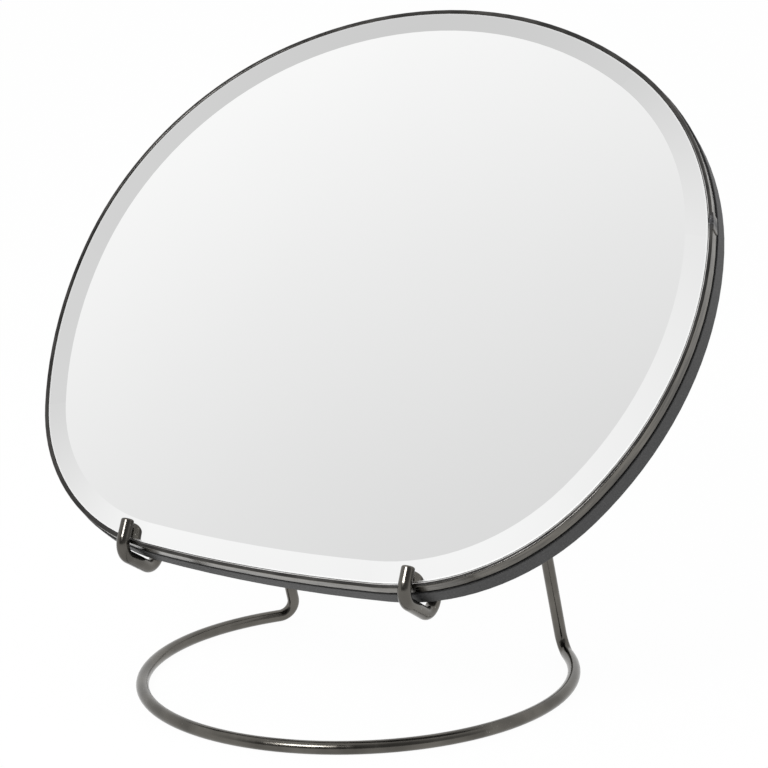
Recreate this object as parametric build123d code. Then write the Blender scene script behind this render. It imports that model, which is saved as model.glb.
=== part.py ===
from build123d import *
import os
from math import cos, radians, sin, tan

# Table mirror. A bevelled glass in a thin metal rim lies on a painted board, and rests in a stand
# that is bent from one rod. Sizes are in millimetres. X is to the right, Y to the back and Z up.
# The mirror faces -Y and leans back. The origin is the centre of the base ring, on the table.

# Rod of the stand
rod_diameter = 5.0
rod_end_rounding = 0.8
bend_radius = 6.0
top_bend_radius = 12.0

# Base ring, measured at the rod's centre line. It is open at the back, between the two feet.
ring_radius = 85.4
ring_end_angle = 53.0
foot_reach = 9.0

# Sides of the stand, as corners of the rod's centre line. The left one is -1 and the right one 1.
hook_spacing = 121.2
top_spacing = 123.2
top_corner_y = 10.5
top_corner_z = 146.5
hook_corner_y = -73.5
hook_corner_z = 61.8
hook_step = 2.25
hook_floor_length = 24.5
hook_floor_slope = 29.5
hook_tip_lengths = {-1: 13.3, 1: 12.3}
hook_tip_lean = 28.0

# Place of the mirror head: the foot is the point of the rim's front plane midway between the hooks
mirror_lean = 36.0
mirror_foot_y = -69.0
mirror_foot_z = 64.5

# Depths of the mirror head's layers behind the rim's front plane
glass_edge_depth = 0.3
glass_back_depth = 2.8
tape_back_depth = 3.6
rim_back_depth = 4.9
board_step_depth = 5.9
board_back_depth = 14.6

# Rim, glass and board
rim_width = 1.6
rim_edge_rounding = 0.4
glass_gap = 0.2
bevel_drop = 1.5
board_front_rounding = 0.3
board_back_rounding = 1.0

# Bead that closes the rim's joint
joint_height = 149.0
joint_length = 7.0
joint_proud = 0.4

# Tape strips between the glass and the board
tape_width = 19.0
tape_lengths = (150.0, 200.0, 210.0, 160.0)
tape_first_height = 35.0
tape_pitch = 54.0
tape_centre_x = 9.0

# Outlines of the rim, of the glass's flat face, and of the board, which stands out past the rim. Each
# is a loop of eight tangent arcs. An arc starts where its normal has the direction given here, in
# degrees from +X. The radii of the first six arcs are given, and the last two follow, as the loop has
# to close.
arc_directions = (10.0, 55.0, 117.0, 173.0, 198.0, 263.0, 271.5, 324.5)
rim_radii = (108.2, 152.4, 125.3, 167.3, 78.2, 675.3)
rim_first_centre = (36.3, 124.0)
flat_radii = (95.5, 139.7, 120.1, 151.3, 66.8, 658.5)
flat_first_centre = (38.9, 126.0)
board_radii = (109.4, 151.3, 127.7, 167.9, 77.2, 688.2)
board_first_centre = (35.5, 124.3)


def side_direction(angle):
    """Unit direction in the mirror's plane, at an angle in degrees from +X."""
    return Vector(cos(radians(angle)), sin(radians(angle)))


def closed_radii(known):
    """All eight radii, where the last arc ends at the point where the first begins."""
    directions = [side_direction(angle) for angle in arc_directions]
    gap = directions[0] * -known[0]
    for before, after, direction in zip(known, known[1:], directions[1:]):
        gap += direction * (before - after)
    gap += directions[-2] * known[-1]
    # The loop closes when gap + a * first_turn + b * second_turn is nothing, for radii a and b.
    first_turn = directions[-1] - directions[-2]
    second_turn = directions[0] - directions[-1]
    area = first_turn.X * second_turn.Y - first_turn.Y * second_turn.X
    first = (gap.Y * second_turn.X - gap.X * second_turn.Y) / area
    second = (gap.X * first_turn.Y - gap.Y * first_turn.X) / area
    return [*known, first, second]


def outline(known_radii, first_centre, inset=0.0):
    """Face inside a loop of tangent arcs, drawn in by an inset."""
    radii = closed_radii(known_radii)
    angles = [*arc_directions, arc_directions[0] + 360]
    centre = Vector(*first_centre)
    edges = []
    for index, radius in enumerate(radii):
        if index > 0:
            centre += side_direction(angles[index]) * (radii[index - 1] - radius)
        middle = (angles[index] + angles[index + 1]) / 2
        ends = [
            centre + side_direction(angle) * (radius - inset)
            for angle in (angles[index], middle, angles[index + 1])
        ]
        edges.append(ThreePointArc(*ends))
    return make_face(edges)


def slab(face, front_depth, back_depth):
    """Solid between two depths behind the rim's front plane."""
    return extrude(Pos(0, 0, -back_depth) * face, amount=back_depth - front_depth)


def edges_at(part, depth):
    """Edges that lie all along one depth behind the rim's front plane."""
    return part.edges().filter_by_position(Axis.Z, -depth - 0.01, -depth + 0.01)


def in_place(part):
    """The part, moved from the mirror's own frame to its place in the stand."""
    foot = Vector(0, mirror_foot_y, mirror_foot_z)
    facing = Vector(0, -cos(radians(mirror_lean)), sin(radians(mirror_lean)))
    return Plane(origin=foot, x_dir=(1, 0, 0), z_dir=facing) * part


def make_glass():
    """Glass with a ground bevel: a straight edge, then a slope up to the flat face."""
    edge = outline(rim_radii, rim_first_centre, rim_width + glass_gap)
    flat = outline(flat_radii, flat_first_centre)
    body = slab(edge, glass_edge_depth, glass_back_depth)
    slope = loft(
        [Pos(0, 0, -glass_edge_depth) * edge, Pos(0, 0, bevel_drop - glass_edge_depth) * flat],
        ruled=True,
    )
    return body + slope


def make_rim():
    """Flat strip bent round the glass, with the bead of its closing joint on the right."""
    band = slab(outline(rim_radii, rim_first_centre), 0, rim_back_depth)
    band -= slab(outline(rim_radii, rim_first_centre, rim_width), 0, rim_back_depth)
    band = fillet(edges_at(band, 0), rim_edge_rounding)
    near_joint = Pos(0, joint_height, 0) * Box(400, joint_length, 40)
    bead = slab(outline(rim_radii, rim_first_centre, -joint_proud), 0, rim_back_depth)
    bead -= slab(outline(rim_radii, rim_first_centre, rim_width / 2), 0, rim_back_depth)
    bead = bead & near_joint & Pos(200, 0, 0) * Box(400, 400, 40)
    bead = fillet(bead.edges().filter_by(Axis.Z), joint_proud)
    return band + bead


def make_board():
    """Board with a raised step that the rim fits round. Its own edge stands out past the rim."""
    step = slab(outline(rim_radii, rim_first_centre, rim_width), tape_back_depth, board_step_depth)
    back = slab(outline(board_radii, board_first_centre), board_step_depth, board_back_depth)
    back = fillet(edges_at(back, board_step_depth), board_front_rounding)
    back = fillet(edges_at(back, board_back_depth), board_back_rounding)
    return back + step


def make_tape():
    """Strips of foam tape that hold the glass on the board's step."""
    strips = []
    for row, length in enumerate(tape_lengths):
        strip = Pos(tape_centre_x, tape_first_height + row * tape_pitch) * Rectangle(length, tape_width)
        strips.append(slab(strip, glass_back_depth, tape_back_depth))
    return Compound(strips)


def bend(before, corner, after, radius):
    """Tangent arc that rounds one corner of the rod's centre line."""
    back = (before - corner).normalized()
    on = (after - corner).normalized()
    half_angle = radians(back.get_angle(on) / 2)
    reach = radius / tan(half_angle)
    inward = (back + on).normalized()
    middle = corner + inward * (radius / sin(half_angle) - radius)
    return ThreePointArc(corner + back * reach, middle, corner + on * reach)


def side_corners(side):
    """Corners of the centre line on one side, from the hook's tip to the ring. Side is -1 or 1."""
    hook_x = side * hook_spacing / 2
    # The mirror's edge is lower over the right hook, so each hook steps along the mirror's slope.
    step = -side * hook_step
    front_y = hook_corner_y + step * sin(radians(mirror_lean))
    front_z = hook_corner_z + step * cos(radians(mirror_lean))
    tip_y = front_y + hook_tip_lengths[side] * sin(radians(hook_tip_lean))
    tip_z = front_z + hook_tip_lengths[side] * cos(radians(hook_tip_lean))
    rear_y = front_y + hook_floor_length * cos(radians(hook_floor_slope))
    rear_z = front_z - hook_floor_length * sin(radians(hook_floor_slope))
    turn = radians(ring_end_angle)
    ring_end = Vector(side * ring_radius * sin(turn), ring_radius * cos(turn), rod_diameter / 2)
    foot = ring_end + Vector(-side * cos(turn), sin(turn)) * foot_reach
    return [
        Vector(hook_x, tip_y, tip_z),
        Vector(hook_x, front_y, front_z),
        Vector(hook_x, rear_y, rear_z),
        Vector(side * top_spacing / 2, top_corner_y, top_corner_z),
        foot,
        ring_end,
    ]


def side_path(side):
    """Straight runs and bends of one side, in order from the hook's tip to the ring's end."""
    corners = side_corners(side)
    radii = (bend_radius, bend_radius, top_bend_radius, bend_radius)
    edges = []
    start = corners[0]
    for index, radius in enumerate(radii, start=1):
        arc = bend(corners[index - 1], corners[index], corners[index + 1], radius)
        edges.append(Line(start, arc @ 0))
        edges.append(arc)
        start = arc @ 1
    edges.append(Line(start, corners[-1]))
    return edges


def make_stand():
    """One rod: hook, side and foot on the left, then the ring round the front, then the right side."""
    left = side_corners(-1)
    right = side_corners(1)
    ring = ThreePointArc(left[-1], (0, -ring_radius, rod_diameter / 2), right[-1])
    path = Wire(side_path(-1) + [ring] + side_path(1))
    section = Plane(origin=left[0], z_dir=left[1] - left[0]) * Circle(rod_diameter / 2)
    rod = sweep(section, path=path)
    ends = [rod.faces().sort_by_distance(corners[0])[0] for corners in (left, right)]
    tips = [edge for end in ends for edge in end.edges()]
    return fillet(tips, rod_end_rounding)


parts = {
    "stand_rod": make_stand(),
    "mirror_glass": in_place(make_glass()),
    "rim_band": in_place(make_rim()),
    "back_board": in_place(make_board()),
    "bonding_tape": in_place(make_tape()),
}

os.makedirs("parts", exist_ok=True)
for name, part in parts.items():
    part.label = name
    export_step(part, f"parts/{name}.step")
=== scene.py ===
import math

import bpy
from mathutils import Matrix, Vector

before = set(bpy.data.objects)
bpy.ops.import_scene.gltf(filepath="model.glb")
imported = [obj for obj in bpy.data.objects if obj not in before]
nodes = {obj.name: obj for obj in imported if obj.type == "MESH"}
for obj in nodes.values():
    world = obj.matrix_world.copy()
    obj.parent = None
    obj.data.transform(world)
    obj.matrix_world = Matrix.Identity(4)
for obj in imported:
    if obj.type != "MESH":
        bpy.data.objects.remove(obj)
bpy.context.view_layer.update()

# Place of the mirror head, as in the part's source, in metres. The foot is the point of the rim's
# front plane midway between the hooks, and the middle is about the middle of the mirror's outline.
LEAN = math.radians(36.0)
RIGHT = Vector((1.0, 0.0, 0.0))
FACING = Vector((0.0, -math.cos(LEAN), math.sin(LEAN)))
UPWARD = Vector((0.0, math.sin(LEAN), math.cos(LEAN)))
FOOT = Vector((0.0, -0.0690, 0.0645))
MIDDLE_SIDE = 0.009
MIDDLE_HEIGHT = 0.122
MIDDLE = FOOT + RIGHT * MIDDLE_SIDE + UPWARD * MIDDLE_HEIGHT

# Finish of the bead at the rim's joint: its height up the mirror, how far from there it has faded
# out, and the side beyond which it is found
JOINT_HEIGHT = 0.149
JOINT_REACH = 0.00392
JOINT_SIDE = 0.12

# A colour ramp reads 0 to 1 in coarse steps, so lengths are brought to these units for it.
PER_DECIMETRE = 10.0
PER_MILLIMETRE = 1000.0

# The rim's inner lip carries a painted highlight towards the lower right, over these decimetres from the
# middle.
PAINTED_HIGHLIGHT_DIRECTION = RIGHT * 0.70 - UPWARD * 0.71
PAINTED_HIGHLIGHT_FADE = ((0.30, 0.0), (0.85, 1.0))

# The glass's edge is ground from this depth on, in millimetres behind the rim's front plane.
GROUND_FADE = ((0.14, 0.0), (0.22, 1.0))

# Sizes of the grain in each finish, as noise scales
CLOUD = 60.0
SPECKS = 1500.0
SCUFFED_PATCHES = 45.0
GLOSS_CLOUD = 240.0
ROD_PITS = 700.0
RIM_PITS = 1100.0
LIP_CLOUD = 90.0
PAINTED_HIGHLIGHT_CLOUD = 70.0
SILVER_CLOUD = 9.0
GLASS_HAZE = 30.0
PAINT_SPECKLE = 2200.0
PAINT_CLOUD = 25.0
PAINT_PEEL = 900.0
FOAM_PORES = 1800.0

# The grain of the rim's wall is squeezed across the strip by this much more than along it.
STREAK_SQUEEZE = 9.0

# Tones, as linear colours
ROD_TONES = ((0.092, 0.087, 0.078), (0.140, 0.132, 0.118))
ROD_SCUFF = (0.40, 0.385, 0.36)
WALL_TONES = ((0.070, 0.066, 0.059), (0.150, 0.140, 0.122))
WALL_SCUFF = (0.34, 0.32, 0.29)
# The rim lip's tones are painted shade: the same metal made nearly black where it faces the front.
LIP_PAINTED_SHADE_TONES = ((0.040, 0.039, 0.038), (0.085, 0.082, 0.078))
# Pale tones of the painted highlight on the rim's inner lip
PAINTED_HIGHLIGHT_TONES = ((0.55, 0.54, 0.52), (0.92, 0.91, 0.90))
BEAD_TONES = ((0.022, 0.022, 0.024), (0.075, 0.075, 0.08), (0.55, 0.55, 0.55))
SILVER_TONES = ((0.945, 0.947, 0.945), (0.955, 0.957, 0.955))
PAINT_TONES = ((0.014, 0.014, 0.015), (0.024, 0.024, 0.025), (0.055, 0.055, 0.055))
PAINT_SHADE = (0.018, 0.018, 0.017)
FOAM_TONES = ((0.55, 0.55, 0.53), (0.80, 0.80, 0.78))

# Roughness of the matte finishes
BEAD_ROUGHNESS = 0.5
GROUND_ROUGHNESS = 0.28
FOAM_ROUGHNESS = 0.9

# How a surface is told from its normal: by its share of FACING, which is 0 on a wall and 1 on the
# flat front, and by how far it turns outward, as its product with the way out from the middle.
WALL_SHARE = 0.15
FRONT_SHARE = 0.5
FLAT_SHARE = 0.996
LIP_PAINTED_SHADE_FADE = ((0.45, 0.0), (0.80, 1.0))
INWARD_TURN = -0.012

# A ray that crosses the bevel bends towards the glass's middle, as if the bevel's mirror leant
# inward by this share of its slope. The bevel's silver is painted darker than the flat glass by this
# share, as painted shade, and then painted lighter on the right and darker at the top.
BEVEL_LEAN = 0.5
BEVEL_SLOPE_SINE = 0.165
BEVEL_PAINTED_SHADE = 0.11
BEVEL_PAINTED_LIGHT_RIGHT = 0.054
BEVEL_PAINTED_SHADE_UP = 0.112
BEVEL_PAINTED_SHADE_TREND = (RIGHT * BEVEL_PAINTED_LIGHT_RIGHT - UPWARD * BEVEL_PAINTED_SHADE_UP) / BEVEL_SLOPE_SINE

# Studio light. Directions point from the object to the light. Levels go with how far a ray turns
# towards a side, from -1 to 1.
BRIGHT_SIDE = Vector((0.085, 0.883, -0.462)).normalized()
BRIGHT_LEVELS = ((-1.0, 0.45), (-0.69, 1.0))
DARK_SIDE = Vector((0.50, -0.84, 0.20)).normalized()
DARK_LEVELS = ((0.42, 1.0), (0.60, 0.48), (0.85, 0.27))
KEY_TARGET = Vector((0.0, 0.0, 0.09))
KEY_DIRECTION = Vector((-0.03, -0.79, 0.58)).normalized()
KEY_DISTANCE = 1.3
KEY_WIDTH = 0.46
KEY_HEIGHT = 0.34
KEY_POWER = 11.0

# Floor
FLOOR_REACH = 12.0
FLOOR_DROP = 0.0001
FLOOR_LEVEL = 0.92
FLOOR_ROUGHNESS = 0.9
FLOOR_GLOW = 0.975

# Camera, matched to the photograph
IMAGE_WIDTH_PX = 768.0
FOCAL_PX = 2264.87
SENSOR_MM = 36.0
CAMERA_PLACE = (0.4222, -0.7488, 0.2911)
CAMERA_AZIMUTH = 0.4976
CAMERA_ELEVATION = 0.1981
CAMERA_ROLL = -0.030


# Node helpers

def new_material(name):
    """A node material, its node tree and its Principled shader."""
    material = bpy.data.materials.new(name)
    material.use_nodes = True
    tree = material.node_tree
    return material, tree, tree.nodes["Principled BSDF"]


def add(tree, kind, **settings):
    """A new node with its properties and its inputs' values set."""
    node = tree.nodes.new(kind)
    for key, value in settings.items():
        if hasattr(node, key):
            setattr(node, key, value)
        else:
            node.inputs[key].default_value = value
    return node


def put(tree, slot, value):
    """Links a socket to an input, or sets a fixed value on it."""
    if isinstance(value, bpy.types.NodeSocket):
        tree.links.new(value, slot)
    else:
        slot.default_value = value


def rgba(value):
    """A grey level or a colour, as red, green, blue and alpha."""
    return (value, value, value, 1.0) if isinstance(value, float) else (*value, 1.0)


def arithmetic(tree, operation, *values):
    """One sum on sockets or numbers."""
    node = add(tree, "ShaderNodeMath", operation=operation)
    for slot, value in zip(node.inputs, values):
        put(tree, slot, value)
    return node.outputs["Value"]


def vector_math(tree, operation, *values):
    """One sum on vectors, or on a vector and a number, as sockets or fixed values."""
    node = add(tree, "ShaderNodeVectorMath", operation=operation)
    slots = (node.inputs[0], node.inputs["Scale"]) if operation == "SCALE" else node.inputs
    for slot, value in zip(slots, values):
        put(tree, slot, value)
    return node.outputs["Value" if operation == "DOT_PRODUCT" else "Vector"]


def along(tree, where, origin, direction):
    """Distance of a point from origin along a direction, in metres."""
    return vector_math(tree, "DOT_PRODUCT", vector_math(tree, "SUBTRACT", where, origin), direction)


def place(tree):
    """Object coordinates, which are the part's own frame in metres."""
    return add(tree, "ShaderNodeTexCoord").outputs["Object"]


def noise(tree, where, scale, detail=4.0, roughness=0.55):
    """Noise in space, as a socket from about 0.3 to 0.7."""
    node = add(tree, "ShaderNodeTexNoise", Scale=scale, Detail=detail, Roughness=roughness)
    tree.links.new(where, node.inputs["Vector"])
    return node.outputs["Fac"]


def ramp(tree, socket, stops):
    """Colour ramp through (position, grey level or colour) stops."""
    node = add(tree, "ShaderNodeValToRGB")
    elements = node.color_ramp.elements
    while len(elements) < len(stops):
        elements.new(0.5)
    for element, (position, value) in zip(elements, stops):
        element.position = position
        element.color = rgba(value)
    tree.links.new(socket, node.inputs["Fac"])
    return node.outputs["Color"]


def tones(tree, socket, positions, values):
    """Colour ramp through values at positions."""
    return ramp(tree, socket, tuple(zip(positions, values)))


def blend_colours(tree, factor, first, second):
    """Mix of two colours, as sockets or fixed values, by a factor socket."""
    node = add(tree, "ShaderNodeMix", data_type="RGBA")
    tree.links.new(factor, node.inputs["Factor"])
    for name, value in (("A", first), ("B", second)):
        slot = next(s for s in node.inputs if s.name == name and s.type == "RGBA")
        put(tree, slot, value if isinstance(value, bpy.types.NodeSocket) else rgba(value))
    return next(s for s in node.outputs if s.type == "RGBA")


def split_normal(tree):
    """How far a surface faces as the mirror does, and its normal in two: along that way and across."""
    normal = add(tree, "ShaderNodeNewGeometry").outputs["Normal"]
    share = vector_math(tree, "DOT_PRODUCT", normal, FACING)
    straight = vector_math(tree, "SCALE", FACING, share)
    return share, straight, vector_math(tree, "SUBTRACT", normal, straight)


def bump(tree, shader, socket, strength, distance):
    """Fine relief from a height socket."""
    node = add(tree, "ShaderNodeBump", Strength=strength, Distance=distance)
    tree.links.new(socket, node.inputs["Height"])
    tree.links.new(node.outputs["Normal"], shader.inputs["Normal"])


# Materials

def plating(tree, where, metal_tones, scuff):
    """Cloudy tone of dark plated metal, with pale specks where the plating is scuffed."""
    colour = tones(tree, noise(tree, where, CLOUD, 3.0), (0.35, 0.65), metal_tones)
    specks = ramp(tree, noise(tree, where, SPECKS, 2.0), ((0.68, 0.0), (0.74, 1.0)))
    patches = ramp(tree, noise(tree, where, SCUFFED_PATCHES, 2.0), ((0.50, 0.0), (0.62, 1.0)))
    return blend_colours(tree, arithmetic(tree, "MULTIPLY", specks, patches), colour, scuff)


def rod_metal(name):
    """Dark plated metal: warm grey, with a faint unevenness of gloss."""
    material, tree, shader = new_material(name)
    where = place(tree)
    gloss = ramp(tree, noise(tree, where, GLOSS_CLOUD, 4.0), ((0.30, 0.15), (0.70, 0.25)))
    tree.links.new(plating(tree, where, ROD_TONES, ROD_SCUFF), shader.inputs["Base Color"])
    tree.links.new(gloss, shader.inputs["Roughness"])
    shader.inputs["Metallic"].default_value = 1.0
    bump(tree, shader, noise(tree, where, ROD_PITS, 2.0), strength=0.06, distance=0.00005)
    return material


def painted_highlight_edge(tree, where, share, across):
    """1 on the inner edge of the rim's lip, on the mirror's lower right, where a highlight is painted
    into the colour.
    """
    outward = vector_math(tree, "SUBTRACT", where, MIDDLE)
    turned = vector_math(tree, "DOT_PRODUCT", across, outward)
    inward = arithmetic(tree, "LESS_THAN", turned, INWARD_TURN)
    inner = arithmetic(tree, "MULTIPLY", inward, arithmetic(tree, "GREATER_THAN", share, WALL_SHARE))
    lower_right = arithmetic(tree, "MULTIPLY", along(tree, where, MIDDLE, PAINTED_HIGHLIGHT_DIRECTION), PER_DECIMETRE)
    return arithmetic(tree, "MULTIPLY", inner, ramp(tree, lower_right, PAINTED_HIGHLIGHT_FADE))


def joint_bead(tree, where):
    """1 at the middle of the bead where the ends of the rim's strip are joined, fading to 0."""
    height = arithmetic(tree, "ABSOLUTE", along(tree, where, FOOT + UPWARD * JOINT_HEIGHT, UPWARD))
    fade = arithmetic(tree, "MULTIPLY_ADD", height, -1.0 / JOINT_REACH, 1.0)
    near = arithmetic(tree, "MAXIMUM", fade, 0.0)
    side = along(tree, where, RIGHT * JOINT_SIDE, RIGHT)
    return arithmetic(tree, "MULTIPLY", near, arithmetic(tree, "GREATER_THAN", side, 0.0))


def rim_metal(name):
    """The rod's metal on the rim: the front lip is painted nearly black as painted shade, with a painted
    highlight on the lip's inner edge at the lower right, and a matte bead at its joint.
    """
    material, tree, shader = new_material(name)
    where = place(tree)
    share, _, across = split_normal(tree)
    # The wall's tone runs in streaks along the strip.
    depth = along(tree, where, FOOT, -FACING)
    squeeze = vector_math(tree, "SCALE", -FACING, arithmetic(tree, "MULTIPLY", depth, STREAK_SQUEEZE))
    wall = plating(tree, vector_math(tree, "ADD", where, squeeze), WALL_TONES, WALL_SCUFF)
    lip = tones(tree, noise(tree, where, LIP_CLOUD, 3.0), (0.35, 0.65), LIP_PAINTED_SHADE_TONES)
    # Painted shade: the front-facing lip gets near-black tones of the same metal, blended in by its
    # normal.
    colour = blend_colours(tree, ramp(tree, share, LIP_PAINTED_SHADE_FADE), wall, lip)
    # Painted highlight: a pale tone on the inner edge of the lip on the lower right, where light is
    # reflected there.
    painted_highlight = tones(tree, noise(tree, where, PAINTED_HIGHLIGHT_CLOUD, 3.0), (0.35, 0.6), PAINTED_HIGHLIGHT_TONES)
    colour = blend_colours(tree, painted_highlight_edge(tree, where, share, across), colour, painted_highlight)
    gloss = ramp(tree, noise(tree, where, GLOSS_CLOUD, 4.0), ((0.30, 0.15), (0.70, 0.26)))
    joint = joint_bead(tree, where)
    grain = noise(tree, where, RIM_PITS, 4.0, 0.7)
    bead = tones(tree, grain, (0.40, 0.58, 0.72), BEAD_TONES)
    pits = noise(tree, where, RIM_PITS, 3.0)
    relief = arithmetic(tree, "ADD", pits, arithmetic(tree, "MULTIPLY", joint, grain))
    tree.links.new(blend_colours(tree, joint, colour, bead), shader.inputs["Base Color"])
    tree.links.new(blend_colours(tree, joint, gloss, BEAD_ROUGHNESS), shader.inputs["Roughness"])
    shader.inputs["Metallic"].default_value = 1.0
    bump(tree, shader, relief, strength=0.03, distance=0.00005)
    return material


def silvered_glass(name):
    """Silvered mirror glass. Its bevel reflects as through a prism, its silver is painted darker on the
    bevel as painted shade, and its edge is ground.
    """
    material, tree, shader = new_material(name)
    where = place(tree)
    share, straight, across = split_normal(tree)
    front = arithmetic(tree, "GREATER_THAN", share, FRONT_SHARE)
    turn = arithmetic(tree, "MULTIPLY_ADD", front, -1.0 - BEVEL_LEAN, 1.0)
    leaning = vector_math(tree, "ADD", vector_math(tree, "SCALE", across, turn), straight)
    bevel = arithmetic(tree, "MULTIPLY", front, arithmetic(tree, "LESS_THAN", share, FLAT_SHARE))
    # Painted shade and light on the bevel: its silver is darker overall, lighter towards the right and
    # darker towards the top.
    painted_shade_trend = vector_math(tree, "DOT_PRODUCT", across, BEVEL_PAINTED_SHADE_TREND)
    bevel_painted_shade = arithmetic(tree, "MULTIPLY", arithmetic(tree, "SUBTRACT", painted_shade_trend, BEVEL_PAINTED_SHADE), bevel)
    silver = tones(tree, noise(tree, where, SILVER_CLOUD, 2.0), (0.3, 0.7), SILVER_TONES)
    colour = vector_math(tree, "SCALE", silver, arithmetic(tree, "ADD", bevel_painted_shade, 1.0))
    depth = arithmetic(tree, "MULTIPLY", along(tree, where, FOOT, -FACING), PER_MILLIMETRE)
    ground = ramp(tree, depth, GROUND_FADE)
    haze = ramp(tree, noise(tree, where, GLASS_HAZE, 5.0), ((0.45, 0.0), (0.75, 0.02)))
    tree.links.new(colour, shader.inputs["Base Color"])
    tree.links.new(blend_colours(tree, ground, haze, GROUND_ROUGHNESS), shader.inputs["Roughness"])
    tree.links.new(vector_math(tree, "NORMALIZE", leaning), shader.inputs["Normal"])
    shader.inputs["Metallic"].default_value = 1.0
    return material


def charcoal(name):
    """Matte charcoal paint with a fine speckle and the slight orange peel of a sprayed board."""
    material, tree, shader = new_material(name)
    where = place(tree)
    fine = noise(tree, where, PAINT_SPECKLE, 3.0, 0.7)
    colour = tones(tree, fine, (0.36, 0.55, 0.72), PAINT_TONES)
    broad = ramp(tree, noise(tree, where, PAINT_CLOUD, 3.0), ((0.3, 0.0), (0.7, 0.35)))
    tree.links.new(blend_colours(tree, broad, colour, PAINT_SHADE), shader.inputs["Base Color"])
    tree.links.new(ramp(tree, fine, ((0.3, 0.62), (0.7, 0.50))), shader.inputs["Roughness"])
    bump(tree, shader, noise(tree, where, PAINT_PEEL, 3.0), strength=0.25, distance=0.00008)
    return material


def foam(name):
    """White foam tape with open pores."""
    material, tree, shader = new_material(name)
    pores = noise(tree, place(tree), FOAM_PORES, 2.0)
    tree.links.new(tones(tree, pores, (0.35, 0.5), FOAM_TONES), shader.inputs["Base Color"])
    shader.inputs["Roughness"].default_value = FOAM_ROUGHNESS
    bump(tree, shader, pores, strength=0.5, distance=0.0002)
    return material


def dress(node, material):
    """Gives a CAD node its material."""
    mesh = nodes[node].data
    mesh.materials.clear()
    mesh.materials.append(material)


# Stage

def shows_background(tree, *rays):
    """1 for rays of these kinds."""
    paths = add(tree, "ShaderNodeLightPath")
    share = paths.outputs[rays[0]]
    for ray in rays[1:]:
        share = arithmetic(tree, "MAXIMUM", share, paths.outputs[ray])
    return share


def make_floor():
    """White floor that keeps the object's shadow."""
    mesh = bpy.data.meshes.new("floor")
    corners = [(x * FLOOR_REACH, y * FLOOR_REACH, 0) for x, y in ((-1, -1), (1, -1), (1, 1), (-1, 1))]
    mesh.from_pydata(corners, [], [(0, 1, 2, 3)])
    floor = bpy.data.objects.new("floor", mesh)
    floor.location.z = -FLOOR_DROP
    bpy.context.scene.collection.objects.link(floor)
    material, tree, shader = new_material("white_floor")
    shader.inputs["Base Color"].default_value = rgba(FLOOR_LEVEL)
    shader.inputs["Roughness"].default_value = FLOOR_ROUGHNESS
    shader.inputs["Specular IOR Level"].default_value = 0.0
    glow = add(tree, "ShaderNodeEmission", Strength=1.0)
    white = add(tree, "ShaderNodeMixShader")
    seen = shows_background(tree, "Is Camera Ray", "Is Glossy Ray", "Is Transmission Ray")
    tree.links.new(arithmetic(tree, "MULTIPLY", seen, FLOOR_GLOW), white.inputs["Fac"])
    tree.links.new(shader.outputs[0], white.inputs[1])
    tree.links.new(glow.outputs[0], white.inputs[2])
    tree.links.new(white.outputs[0], tree.nodes["Material Output"].inputs["Surface"])
    mesh.materials.append(material)


def studio_levels(tree, direction, side, levels):
    """Light level by how far a direction turns towards a side. The ramp reads -1 to 1 as 0 to 1."""
    turned = vector_math(tree, "DOT_PRODUCT", direction, side)
    stops = tuple(((position + 1.0) / 2.0, level) for position, level in levels)
    return ramp(tree, arithmetic(tree, "MULTIPLY_ADD", turned, 0.5, 0.5), stops)


def make_world():
    """Studio that is white on the side of the background and greyer behind the camera."""
    world = bpy.data.worlds.new("studio")
    world.use_nodes = True
    tree = world.node_tree
    bpy.context.scene.world = world
    direction = add(tree, "ShaderNodeTexCoord").outputs["Generated"]
    bright = studio_levels(tree, direction, BRIGHT_SIDE, BRIGHT_LEVELS)
    dark = studio_levels(tree, direction, DARK_SIDE, DARK_LEVELS)
    level = arithmetic(tree, "MULTIPLY", bright, dark)
    background = tree.nodes["Background"]
    seen = shows_background(tree, "Is Camera Ray", "Is Transmission Ray")
    tree.links.new(blend_colours(tree, seen, level, 1.0), background.inputs["Color"])
    background.inputs["Strength"].default_value = 1.0


def make_key():
    """Softbox above and to the left of the camera, which draws the highlights on the rod and rim."""
    data = bpy.data.lights.new("key", "AREA")
    data.shape = "RECTANGLE"
    data.size = KEY_WIDTH
    data.size_y = KEY_HEIGHT
    data.energy = KEY_POWER
    lamp = bpy.data.objects.new("key", data)
    lamp.location = KEY_TARGET + KEY_DIRECTION * KEY_DISTANCE
    lamp.rotation_euler = KEY_DIRECTION.to_track_quat("Z", "Y").to_euler()
    bpy.context.scene.collection.objects.link(lamp)


def make_camera():
    """Camera at the photograph's viewing angle."""
    data = bpy.data.cameras.new("camera")
    data.sensor_width = SENSOR_MM
    data.lens = FOCAL_PX / IMAGE_WIDTH_PX * SENSOR_MM
    camera = bpy.data.objects.new("camera", data)
    turn = Matrix.Rotation(CAMERA_AZIMUTH, 4, "Z")
    tilt = Matrix.Rotation(math.pi / 2 - CAMERA_ELEVATION, 4, "X")
    roll = Matrix.Rotation(CAMERA_ROLL, 4, "Z")
    camera.matrix_world = Matrix.Translation(CAMERA_PLACE) @ turn @ tilt @ roll
    bpy.context.scene.collection.objects.link(camera)
    bpy.context.scene.camera = camera


dress("stand_rod", rod_metal("dark_chrome_rod"))
dress("rim_band", rim_metal("dark_chrome_rim"))
dress("mirror_glass", silvered_glass("silvered_glass"))
dress("back_board", charcoal("charcoal_board"))
dress("bonding_tape", foam("foam_tape"))

make_floor()
make_world()
make_key()
make_camera()
bpy.context.scene.view_settings.view_transform = "Standard"
